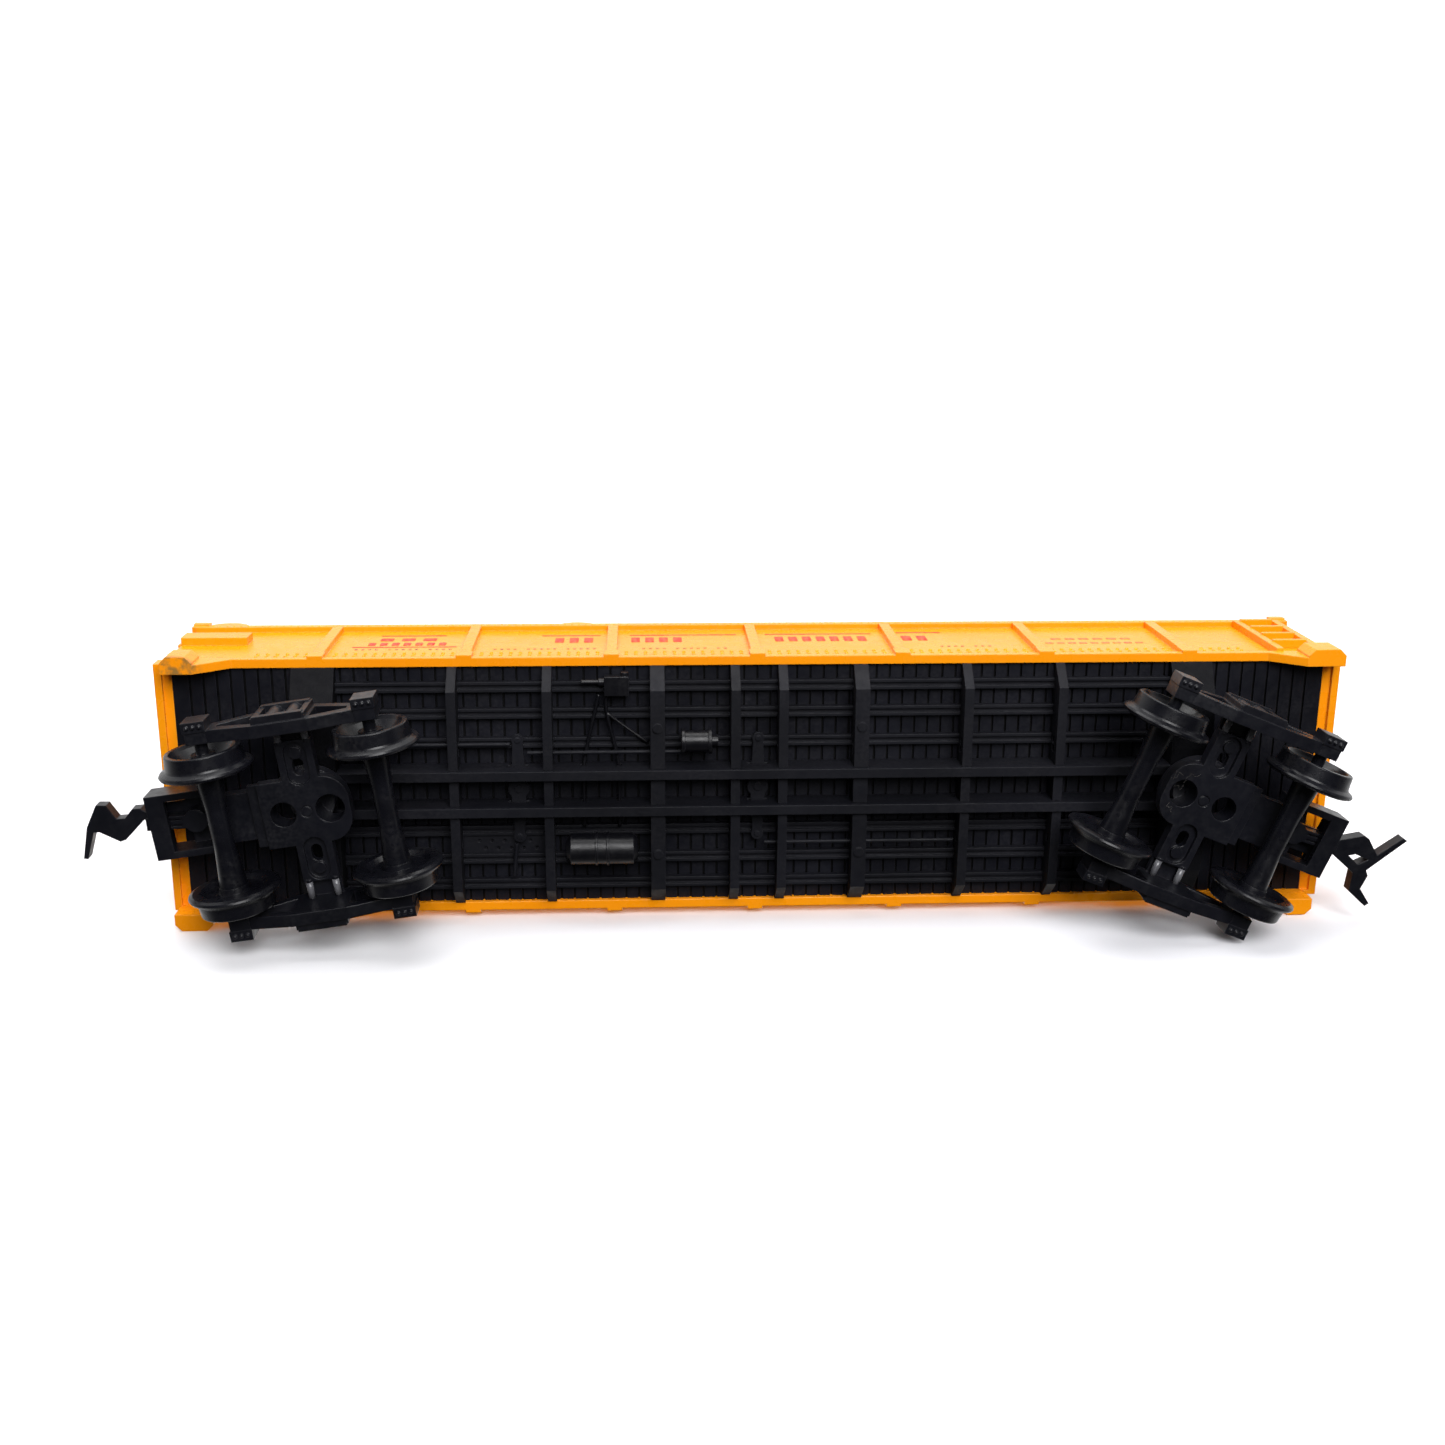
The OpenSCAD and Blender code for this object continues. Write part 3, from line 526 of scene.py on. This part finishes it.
def make_pins():
    """Pale grey skin on the two pins that join each side frame to its truck's arm: a painted
    highlight.
    """
    pin_z, pin_from, pin_to = 6.8, 8.95, 10.95
    for end, word in ((1, "front"), (-1, "rear")):
        mesh = bmesh.new()
        for side in (-1, 1):
            for u in (-1.6, 1.6):
                ends = [on_truck(end, TRUCK_YAW[word], u, side * v, pin_z)
                        for v in (pin_from, pin_to)]
                tube(mesh, ends, 0.43, 16, 2)
        piece("side_frame_pins_" + word, mesh, PIN_PAINTED_HIGHLIGHT, word + "_truck")


def make_lint():
    """A few short fine fibres that lie on the front truck's plate."""
    plate_z, stride = 6.55, 0.35
    mesh = bmesh.new()
    for _ in range(6):
        u, v = rng.uniform(-4.6, -2.2), rng.uniform(-3.0, 3.0)
        heading = rng.uniform(0, 2 * math.pi)
        points = []
        for k in range(5):
            along, across = math.cos(heading) * k * stride, math.sin(heading) * k * stride
            heading += rng.uniform(-0.9, 0.9)
            points.append(on_truck(1, TRUCK_YAW["front"], u + along, v + across, plate_z))
        tube(mesh, points, 0.014, 5, 4)
    piece("lint_strands", mesh, LINT, "front_truck")


# ---------- stage and light ----------

def stage_material(name, tint, glow):
    """Pale matt backdrop, clear from behind.

    Its own light goes from glow to FAR_GLOW with height above the origin, so in the
    photograph's view the floor's far end meets the backdrop without an edge.
    """
    n = Nodes(name)
    shade = n.ramp(n.noise(9.0), 0.3, 0.7)
    n.link(n.mix(shade, tint, (0.93, 0.93, 0.94)), n.shader.inputs["Base Color"])
    n.shader.inputs["Roughness"].default_value = 0.9
    n.shader.inputs["Specular IOR Level"].default_value = 0.1
    n.shader.inputs["Emission Color"].default_value = (1.0, 1.0, 1.0, 1.0)
    n.link(n.ramp(n.axis("Z"), 0.10, 0.70, glow, FAR_GLOW), n.shader.inputs["Emission Strength"])
    clear = n.add("ShaderNodeBsdfTransparent")
    choose = n.add("ShaderNodeMixShader")
    n.link(n.add("ShaderNodeNewGeometry").outputs["Backfacing"], choose.inputs[0])
    n.link(n.shader.outputs[0], choose.inputs[1])
    n.link(clear.outputs[0], choose.inputs[2])
    n.link(choose.outputs[0], n.tree.nodes["Material Output"].inputs["Surface"])
    return n.material


def plane(name, corners, material):
    """A stage plane that only the camera sees, so it adds no light to the car."""
    mesh = bpy.data.meshes.new(name)
    mesh.from_pydata(corners, [], [(0, 1, 2, 3)])
    mesh.materials.append(material)
    obj = bpy.data.objects.new(name, mesh)
    bpy.context.scene.collection.objects.link(obj)
    obj.visible_shadow = False
    obj.visible_diffuse = False
    obj.visible_glossy = False
    obj.visible_transmission = False


def area_light(name, place, target, size, power, colour=(1, 1, 1)):
    """A soft round light that faces its target."""
    data = bpy.data.lights.new(name, "AREA")
    data.shape = "DISK"
    data.size = size
    data.energy = power
    data.color = colour
    obj = bpy.data.objects.new(name, data)
    obj.location = place
    obj.rotation_euler = (Vector(target) - Vector(place)).to_track_quat("-Z", "Y").to_euler()
    bpy.context.scene.collection.objects.link(obj)


def make_world():
    """White light from all round, dim from below and full from above."""
    world = bpy.data.worlds.new("studio")
    world.use_nodes = True
    tree = world.node_tree
    background = tree.nodes["Background"]
    background.inputs["Color"].default_value = (1.0, 1.0, 1.0, 1.0)
    direction = tree.nodes.new("ShaderNodeTexCoord")
    split = tree.nodes.new("ShaderNodeSeparateXYZ")
    tree.links.new(direction.outputs["Generated"], split.inputs[0])
    level = tree.nodes.new("ShaderNodeMapRange")
    level.interpolation_type = "SMOOTHSTEP"
    level.inputs["From Min"].default_value = -0.45
    level.inputs["From Max"].default_value = 0.55
    level.inputs["To Min"].default_value = 0.04
    level.inputs["To Max"].default_value = 1.0
    tree.links.new(split.outputs["Z"], level.inputs["Value"])
    tree.links.new(level.outputs["Result"], background.inputs["Strength"])
    bpy.context.scene.world = world


def make_stage():
    """The photograph's floor beside the car, its backdrop, and a floor under the wheels."""
    gap = 0.0001
    side = cad_bounds[1][1] + gap
    low = cad_bounds[0][2] - gap
    reach, back_z = 3, 1.1
    pale = stage_material("pale_floor", (0.88, 0.88, 0.92), 0.0)
    bright = stage_material("bright_backdrop", (0.90, 0.90, 0.92), FAR_GLOW)
    plane("photo_floor", [(-reach, side, -reach), (reach, side, -reach),
                          (reach, side, reach), (-reach, side, reach)], pale)
    plane("photo_back", [(-reach, side, back_z), (reach, side, back_z),
                         (reach, -reach, back_z), (-reach, -reach, back_z)], bright)
    plane("rail_floor", [(-reach, -reach, low), (reach, -reach, low),
                         (reach, reach, low), (-reach, reach, low)], pale)
    area_light("key", (-0.08, -0.62, 0.08), (0, 0, 0.014), 0.60, 3.4)
    area_light("fill", (0.10, -0.40, -0.50), (0, 0, 0.012), 0.45, 5.6, (0.99, 0.99, 1.0))
    make_world()
    bpy.context.scene.view_settings.view_transform = "Standard"


make_camera()
dress_cad()
make_rivets()
make_markings()
make_pipes()
make_pins()
make_lint()
make_stage()
